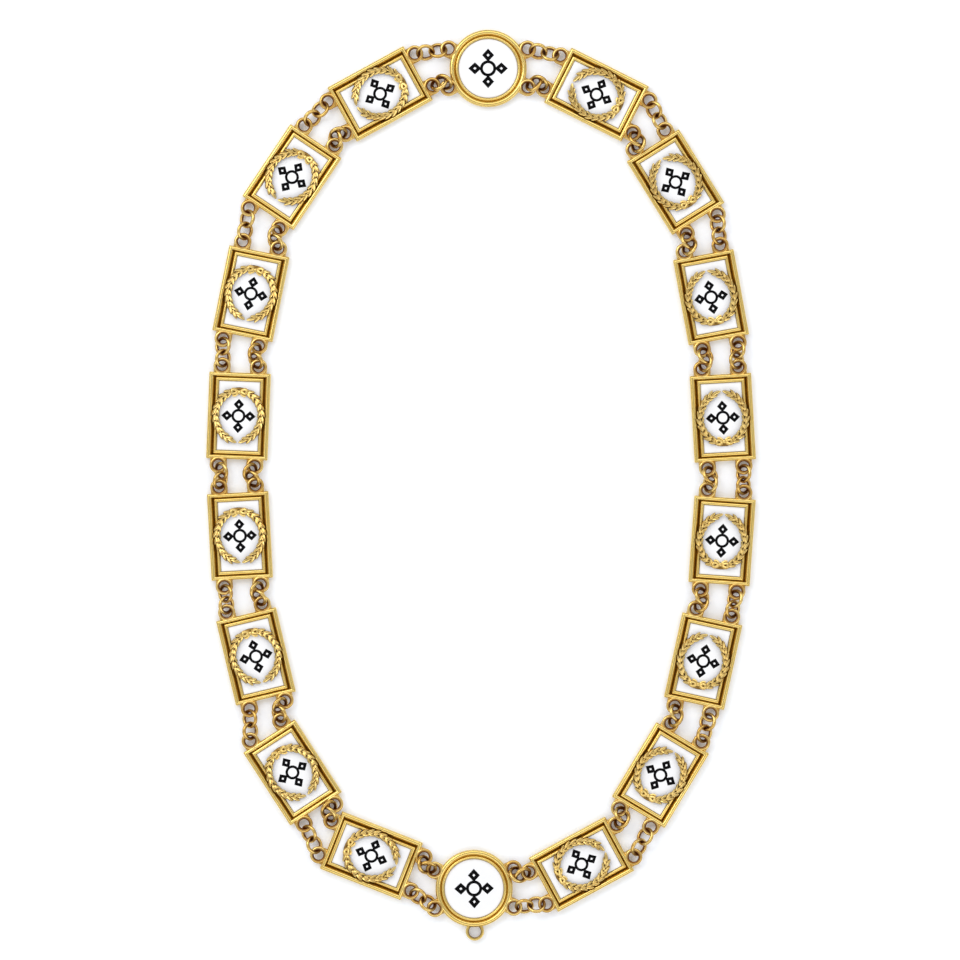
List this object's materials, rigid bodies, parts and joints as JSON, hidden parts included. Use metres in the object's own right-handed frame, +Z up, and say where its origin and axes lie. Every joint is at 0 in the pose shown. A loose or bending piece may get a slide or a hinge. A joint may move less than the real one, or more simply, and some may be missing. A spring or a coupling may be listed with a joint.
{
  "type": "chain of office",
  "caption": "Ceremonial collar laid flat: framed rectangular enamel plates with laurel wreaths, round medallions front and back, double rows of ring links and an eye for a jewel.",
  "frame": {"origin": "middle of the chain's outline, at table height: the chain lies on Z = 0", "axes": "+Y towards the medallion at the nape, -Y towards the medallion with the jewel eye, +Z up, out of the enamelled faces"},
  "size_m": [0.2748, 0.455, 0.0081],
  "materials": {
    "gilt": "polished gilt, darker in the grooves",
    "link_gilt": "polished gilt, redder than the plates",
    "white_enamel": "glossy white enamel"
  },
  "bodies": {
    "root": {"plate_01": "gilt", "plate_02": "gilt", "plate_03": "gilt", "plate_04": "gilt", "plate_05": "gilt", "plate_06": "gilt", "plate_07": "gilt", "plate_08": "gilt", "plate_09": "gilt", "plate_10": "gilt", "plate_11": "gilt", "plate_12": "gilt", "plate_13": "gilt", "plate_14": "gilt", "plate_15": "gilt", "plate_16": "gilt", "rim_top": "gilt", "rim_bottom": "gilt", "enamel_01": "white_enamel", "enamel_02": "white_enamel", "enamel_03": "white_enamel", "enamel_04": "white_enamel", "enamel_05": "white_enamel", "enamel_06": "white_enamel", "enamel_07": "white_enamel", "enamel_08": "white_enamel", "enamel_09": "white_enamel", "enamel_10": "white_enamel", "enamel_11": "white_enamel", "enamel_12": "white_enamel", "enamel_13": "white_enamel", "enamel_14": "white_enamel", "enamel_15": "white_enamel", "enamel_16": "white_enamel", "enamel_top": "white_enamel", "enamel_bottom": "white_enamel", "links_01": "link_gilt", "links_02": "link_gilt", "links_03": "link_gilt", "links_04": "link_gilt", "links_05": "link_gilt", "links_06": "link_gilt", "links_07": "link_gilt", "links_08": "link_gilt", "links_09": "link_gilt", "links_10": "link_gilt", "links_11": "link_gilt", "links_12": "link_gilt", "links_13": "link_gilt", "links_14": "link_gilt", "links_15": "link_gilt", "links_16": "link_gilt", "links_17": "link_gilt", "links_18": "link_gilt"}
  },
  "joints": []
}
